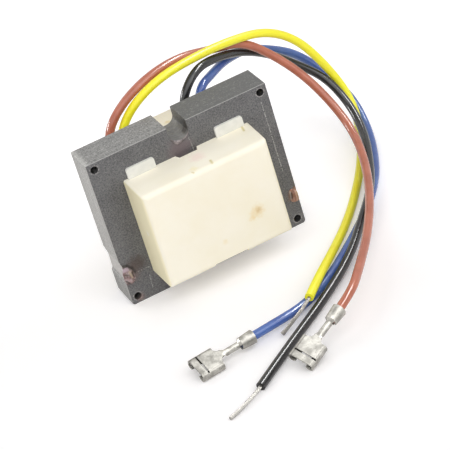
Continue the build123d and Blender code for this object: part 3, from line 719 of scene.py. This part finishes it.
blue_route = [
    (0.0130, 0.0142, 0.0330), (0.0136, 0.0142, 0.0390), (0.0162, 0.0150, 0.0442),
    (0.0214, 0.0195, 0.0438), (0.0294, 0.0279, 0.0420), (0.0391, 0.0348, 0.0388),
    (0.0474, 0.0386, 0.0336), (0.0560, 0.0409, 0.0271), (0.0624, 0.0384, 0.0185),
    (0.0664, 0.0320, 0.0102), (0.0655, 0.0230, 0.0040), (0.0612, 0.0110, 0.0018),
    (0.0545, -0.0025, 0.0013), (0.0445, -0.0160, 0.0013), (0.0327, -0.0280, 0.0013),
    (0.0205, -0.0390, 0.0013), (0.0083, -0.0474, 0.0018), (-0.00335, -0.0503, 0.0027),
    (-0.01385, -0.05175, 0.00275),
]


def smooth_line(name, route):
    """Quadratic NURBS through the ends of the route, drawn towards its other points."""
    data = bpy.data.curves.new(name, "CURVE")
    data.dimensions = "3D"
    data.resolution_u = 14
    spline = data.splines.new("NURBS")
    spline.points.add(len(route) - 1)
    spline.points.foreach_set("co", np.hstack([np.array(route), np.ones((len(route), 1))]).ravel())
    spline.order_u = 3
    spline.use_endpoint_u = True
    line = bpy.data.objects.new(name, data)
    bpy.context.scene.collection.objects.link(line)
    return line


def vinyl(name, deep, bright, roughness):
    """Extruded vinyl: slight clouding in the colour and a faint die-drawn texture."""
    material, tree, shader = finish_material(name, roughness)
    fine, coarse = grained(tree, 2400.0, 120.0)
    colour = tint(tree, ramp(tree, coarse, 0.3, 0.7), deep, bright)
    uneven = ramp(tree, fine, 0.3, 0.7, roughness - 0.03, roughness + 0.03)
    dress(tree, shader, colour, uneven, fine, 0.06, 0.00004)
    return material


brown_vinyl = vinyl("brown vinyl", (0.43, 0.125, 0.07, 1), (0.53, 0.17, 0.10, 1), 0.20)
yellow_vinyl = vinyl("yellow vinyl", (0.97, 0.88, 0.016, 1), (0.99, 0.95, 0.030, 1), 0.34)
black_vinyl = vinyl("black vinyl", (0.012, 0.012, 0.012, 1), (0.024, 0.024, 0.024, 1), 0.20)
blue_vinyl = vinyl("blue vinyl", (0.055, 0.110, 0.37, 1), (0.088, 0.175, 0.47, 1), 0.18)
for lead_colour, lead_route, lead_vinyl in (
    ("brown", brown_route, brown_vinyl),
    ("yellow", yellow_route, yellow_vinyl),
    ("black", black_route, black_vinyl),
    ("blue", blue_route, blue_vinyl),
):
    lead = smooth_line(lead_colour + "_wire", lead_route)
    lead.data.bevel_depth = LEAD_RADIUS
    lead.data.bevel_resolution = 6
    lead.data.use_fill_caps = True
    lead.data.materials.append(lead_vinyl)
    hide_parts(lead_colour + "_lead")
    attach(lead, "root")


# Conductors: nineteen tinned copper strands with a lay of about a centimetre. Two are
# crimped in receptacles, and two are stripped and left bare.
STRAND_LAY = 0.011
STRAND_SIDES = 6
CRIMP_REACH = 0.0058
SOLDER_COAT = 0.00004
yellow_strip = [(0.0093, -0.0487, 0.0043), (0.0060, -0.0522, 0.0043), (-0.0029, -0.0546, 0.0014)]
black_strip = [(-0.0180, -0.0719, 0.0013), (-0.0222, -0.0752, 0.0013), (-0.0301, -0.0777, 0.00062)]


def line_points(name, route):
    """Points along the smooth line of a route, as Blender draws it."""
    line = smooth_line(name, route)
    mesh = bpy.data.meshes.new_from_object(line)
    points = np.zeros(len(mesh.vertices) * 3)
    mesh.vertices.foreach_get("co", points)
    bpy.data.meshes.remove(mesh)
    bpy.data.objects.remove(line)
    return points.reshape(-1, 3)


def lead_end(route):
    """Last point of a route and the direction of the lead there."""
    end, before = np.array(route[-1]), np.array(route[-2])
    return end, (end - before) / np.linalg.norm(end - before)


def crimp_line(route):
    """Straight spine on from the end of a lead, for a conductor in a barrel."""
    end, ahead = lead_end(route)
    return end + np.linspace(0, CRIMP_REACH, 12)[:, None] * ahead


def strand_bundle(name, node, spine, strand_radius, fray, coat=0.0):
    """Nineteen round strands twisted about a spine.

    Strand k at s = spine(s) + r_k (1 + fray u^3) (cos(a_k + 2 pi s / lay) side +
    sin(...) lift), u being the share of the length, and stays above the floor. Each
    carries a six-sided ring, thicker by the coat of solder.
    """
    run = np.diff(spine, axis=0)
    length = np.concatenate([[0], np.cumsum(np.linalg.norm(run, axis=1))])
    sample = np.linspace(0, length[-1], 46)
    centre = np.stack([np.interp(sample, length, spine[:, i]) for i in range(3)], axis=1)
    ahead = np.gradient(centre, axis=0)
    ahead /= np.linalg.norm(ahead, axis=1, keepdims=True)
    side = np.cross(ahead, [0, 0, 1.0])
    side /= np.linalg.norm(side, axis=1, keepdims=True)
    lift = np.cross(side, ahead)
    layer = np.array([0] + [1] * 6 + [2] * 12)
    place = np.concatenate([[0], np.arange(6) / 6, np.arange(12) / 12]) * 2 * np.pi
    share = sample / sample[-1]
    spread = 2 * strand_radius * layer[:, None] * (1 + fray * share[None, :] ** 3)
    turn = place[:, None] + 2 * np.pi * sample[None, :] / STRAND_LAY
    axis = centre[None] + spread[:, :, None] * (
        np.cos(turn)[:, :, None] * side[None] + np.sin(turn)[:, :, None] * lift[None]
    )
    axis[:, :, 2] = np.maximum(axis[:, :, 2], strand_radius)
    round_angle = np.arange(STRAND_SIDES) / STRAND_SIDES * 2 * np.pi
    ring = axis[:, :, None, :] + (strand_radius + coat) * (
        np.cos(round_angle)[None, None, :, None] * side[None, :, None, :]
        + np.sin(round_angle)[None, None, :, None] * lift[None, :, None, :]
    )
    strands, rings = ring.shape[:2]
    strand, step = np.arange(strands)[:, None, None], np.arange(rings - 1)[None, :, None]
    base = (strand * rings + step) * STRAND_SIDES
    here = base + np.arange(STRAND_SIDES)[None, None, :]
    beside = base + (np.arange(STRAND_SIDES)[None, None, :] + 1) % STRAND_SIDES
    quads = np.stack([here + STRAND_SIDES, beside + STRAND_SIDES, beside, here], axis=-1)
    near = np.arange(strands)[:, None] * rings * STRAND_SIDES + np.arange(STRAND_SIDES)[None, :]
    far = (near + (rings - 1) * STRAND_SIDES)[:, ::-1]
    faces = quads.reshape(-1, 4).tolist() + near.tolist() + far.tolist()
    piece = fitted_piece(name, node, ring, faces)
    piece.data.shade_smooth()
    return piece


def tinned_copper(name, dull, bright):
    """Tin-coated strands, clouded where the coat is thin."""
    material, tree, shader = finish_material(name, 0.35, 0.7)
    fine, coarse = grained(tree, 3000.0, 500.0)
    colour = tint(tree, coarse, dull, bright)
    dress(tree, shader, colour, ramp(tree, fine, 0.3, 0.7, 0.28, 0.45))
    return material


yellow_spine = line_points("yellow_strip", yellow_strip)
black_spine = line_points("black_strip", black_strip)
bundles = {
    "yellow": strand_bundle("yellow_bundle", "yellow_strands", yellow_spine, 0.000095, 0.5),
    "black": strand_bundle("black_bundle", "black_strands", black_spine, 0.0001, 0.0, SOLDER_COAT),
    "brown": strand_bundle("brown_bundle", "brown_strands", crimp_line(brown_route), 0.00012, 0.0),
    "blue": strand_bundle("blue_bundle", "blue_strands", crimp_line(blue_route), 0.00012, 0.0),
}
thin_tin = tinned_copper("thinly tinned copper", (0.16, 0.15, 0.135, 1), (0.46, 0.44, 0.41, 1))
dipped_tin = tinned_copper("dipped copper", (0.24, 0.23, 0.21, 1), (0.50, 0.485, 0.455, 1))
for bundle_colour, bundle in bundles.items():
    bundle.data.materials.append(dipped_tin if bundle_colour == "black" else thin_tin)


# Receptacles: push-on females for a 6.3 mm tab, folded from tin-plated brass strip and
# crimped on twice, once on the strands and once on the vinyl.
BASE_TOP = 0.0010
BOX_START = 0.0083
SLIT = 0.01305
NOSE = 0.01525


def tin_plate(name, route, roll):
    """Tin plate, clouded and worn, for a receptacle that goes on from the end of a route.

    Its own place is R' (p - end), R turning x to the lead and then rolling about it;
    inside the box, |y| and z clear of the walls, the plate is painted dark as shade. Dark
    lines are painted as shade in the slit, along the box's folds, across the nose and down
    the shoulders.
    """
    material, tree, shader = finish_material(name, 0.32, 0.65)
    end, ahead = lead_end(route)
    left = np.cross([0, 0, 1.0], ahead)
    left = left / np.linalg.norm(left)
    level = Matrix(np.stack([ahead, left, np.cross(ahead, left)], axis=1).tolist())
    turn = level @ Matrix.Rotation(np.radians(roll), 3, "X")
    own = turn.transposed()
    mapping = new_node(
        tree, "ShaderNodeMapping",
        {
            "Vector": object_place(tree),
            "Location": tuple(-(own @ Vector(end))),
            "Rotation": tuple(own.to_euler()),
        },
    )
    place = split(tree, mapping.outputs[0])
    fine, coarse = grained(tree, 2200.0, 480.0)
    cloud = ramp(tree, coarse, 0.35, 0.7)
    colour = tint(tree, cloud, (0.30, 0.29, 0.262, 1), (0.49, 0.477, 0.436, 1))
    colour = tint(tree, ramp(tree, fine, 0.58, 0.72), colour, (0.20, 0.19, 0.165, 1))
    # Painted shade inside the box, clear of its walls.
    inside = ramp(tree, math_node(tree, "ABSOLUTE", place[1]), 0.0034, 0.0031)
    for clear_of_wall in (
        ramp(tree, place[2], BASE_TOP - 0.0003, BASE_TOP - 0.0004),
        ramp(tree, place[0], BOX_START - 0.0005, BOX_START - 0.0001),
        ramp(tree, place[0], NOSE - 0.0004, NOSE - 0.0008),
    ):
        inside = math_node(tree, "MULTIPLY", inside, clear_of_wall)
    colour = tint(tree, inside, colour, (0.06, 0.055, 0.05, 1))
    # Painted shade: dark lines in the slit, along the box's folds, across the nose and down the shoulders.
    for line_from, line_to, width, strength in (
        ((SLIT, -0.0033), (SLIT, 0.0033), 0.00050, 1.0),
        ((BOX_START, 0.0031), (NOSE, 0.0031), 0.00032, 0.6),
        ((BOX_START, -0.0031), (NOSE, -0.0031), 0.00032, 0.6),
        ((NOSE, -0.0030), (NOSE, 0.0030), 0.00026, 0.5),
        ((BOX_START, 0.0029), (0.0066, 0.0010), 0.00030, 0.5),
        ((BOX_START, -0.0029), (0.0066, -0.0010), 0.00030, 0.5),
    ):
        start, stop = (turn @ Vector((*spot, BASE_TOP)) + Vector(end) for spot in (line_from, line_to))
        line = stroke_mask(tree, start, stop, width)
        colour = painted(tree, line, strength, colour, (0.10, 0.095, 0.085, 1))
    dress(tree, shader, colour, ramp(tree, coarse, 0.3, 0.7, 0.32, 0.48), coarse, 0.3, 0.00006)
    return material


nodes["brown_terminal"].material_slots[0].material = tin_plate("brown receptacle tin", brown_route, -27.0)
nodes["blue_terminal"].material_slots[0].material = tin_plate("blue receptacle tin", blue_route, -20.0)


# Studio: a white paper floor under wide soft lamps, with narrow strips that only shiny
# pieces mirror. The white of the paper is held, and the object's shadow stays on it in
# front; behind and to the right the paper glows brighter, a painted light over the shadows there.
FLOOR_REACH = 3.0
floor_mesh = bpy.data.meshes.new("floor")
floor_mesh.from_pydata(
    [
        (-FLOOR_REACH, -FLOOR_REACH, 0),
        (FLOOR_REACH, -FLOOR_REACH, 0),
        (FLOOR_REACH, FLOOR_REACH, 0),
        (-FLOOR_REACH, FLOOR_REACH, 0),
    ],
    [],
    [(0, 1, 2, 3)],
)
floor = bpy.data.objects.new("floor", floor_mesh)
bpy.context.scene.collection.objects.link(floor)


def seen_rays(tree):
    """1 for rays from the camera, off a gloss or through a clear piece, else 0."""
    ray = tree.nodes.new("ShaderNodeLightPath").outputs
    straight = math_node(tree, "MAXIMUM", ray["Is Camera Ray"], ray["Is Glossy Ray"])
    return math_node(tree, "MAXIMUM", straight, ray["Is Transmission Ray"])


paper = bpy.data.materials.new("white paper")
paper.use_nodes = True
paper_tree = paper.node_tree
paper_tree.nodes.clear()
paper_point = object_place(paper_tree)
paper_place = split(paper_tree, paper_point)
# Painted light: the paper glows more behind and to the right of the object, washing out the shadows there.
paper_beyond = math_node(paper_tree, "MULTIPLY_ADD", paper_place[0], 0.6, paper_place[1])
paper_away = vector_node(paper_tree, "LENGTH", paper_point, output="Value")
paper_level = math_node(
    paper_tree, "MAXIMUM",
    ramp(paper_tree, paper_beyond, -0.04, 0.03, 0.10, 0.32),
    ramp(paper_tree, paper_away, 0.2, 1.2, 0.10, 0.60),
)
paper_strength = math_node(paper_tree, "MULTIPLY", seen_rays(paper_tree), paper_level)
paper_diffuse = new_node(paper_tree, "ShaderNodeBsdfDiffuse", {"Color": (0.96, 0.945, 0.945, 1)})
paper_lift = new_node(
    paper_tree, "ShaderNodeEmission", {"Color": (1.0, 0.985, 0.99, 1), "Strength": paper_strength}
)
paper_sum = new_node(
    paper_tree, "ShaderNodeAddShader", {0: paper_diffuse.outputs[0], 1: paper_lift.outputs[0]}
)
paper_out = paper_tree.nodes.new("ShaderNodeOutputMaterial")
paper_tree.links.new(paper_sum.outputs[0], paper_out.inputs["Surface"])
floor_mesh.materials.append(paper)


def turned(right, up, place):
    """Matrix of an object at a place, with its X to the right and its Y up."""
    turn = np.eye(4)
    turn[:3] = np.stack([right, up, np.cross(right, up), place], axis=1)
    return Matrix(turn.tolist())


def soft_lamp(name, place, aim, size, power, lights=True):
    """Area lamp at a place, turned to its aim; its size is (width, height).

    Where it doesn't light, it is only mirrored.
    """
    data = bpy.data.lights.new(name, "AREA")
    data.shape = "RECTANGLE"
    data.size, data.size_y = size
    data.energy = power
    back = np.array(place) - np.array(aim)
    back = back / np.linalg.norm(back)
    right = np.cross([0, 0, 1.0], back)
    right = right / np.linalg.norm(right)
    lamp = bpy.data.objects.new(name, data)
    lamp.matrix_world = turned(right, np.cross(back, right), place)
    lamp.visible_diffuse = lights
    bpy.context.scene.collection.objects.link(lamp)


soft_lamp("key", (-0.04, -0.62, 0.76), (0.01, -0.01, 0.01), (1.0, 1.0), 4.7)
soft_lamp("fill", (0.50, -0.55, 0.55), (0.01, -0.01, 0.02), (0.7, 0.7), 1.6)
soft_lamp("left", (-0.70, -0.25, 0.50), (0.0, 0.0, 0.02), (0.5, 0.5), 1.0)
soft_lamp("back", (-0.22, 0.62, 0.78), (0.0, 0.01, 0.02), (0.6, 0.6), 1.5)
soft_lamp("right_strip", (0.57, -0.04, 0.70), (0.01, -0.02, 0.01), (0.6, 0.14), 9.0, False)
soft_lamp("front_strip", (0.52, -0.62, 0.39), (0.02, -0.01, 0.02), (0.14, 0.80), 1.0, False)
soft_lamp("left_strip", (-0.68, 0.40, 0.36), (0.0, 0.01, 0.04), (0.4, 0.16), 4.5, False)

world = bpy.data.worlds.new("studio")
world.use_nodes = True
world_tree = world.node_tree
world_back = world_tree.nodes["Background"]
world_back.inputs["Color"].default_value = (1, 1, 1, 1)
world_strength = new_node(world_tree, "ShaderNodeMapRange", {0: seen_rays(world_tree), 3: 0.40, 4: 1.0})
world_tree.links.new(world_strength.outputs[0], world_back.inputs["Strength"])
bpy.context.scene.world = world
bpy.context.scene.view_settings.view_transform = "Standard"

CAMERA_PLACE = (-0.15241, -0.56446, 0.35004)
CAMERA_RIGHT = (0.87575, -0.40542, -0.26210)
CAMERA_UP = (0.42236, 0.38047, 0.82271)
camera_data = bpy.data.cameras.new("camera")
camera_data.sensor_width = 36.0
camera_data.lens = 186.5
camera_data.clip_start = 0.05
camera_data.clip_end = 20.0
camera = bpy.data.objects.new("camera", camera_data)
camera.matrix_world = turned(CAMERA_RIGHT, CAMERA_UP, CAMERA_PLACE)
bpy.context.scene.collection.objects.link(camera)
bpy.context.scene.camera = camera
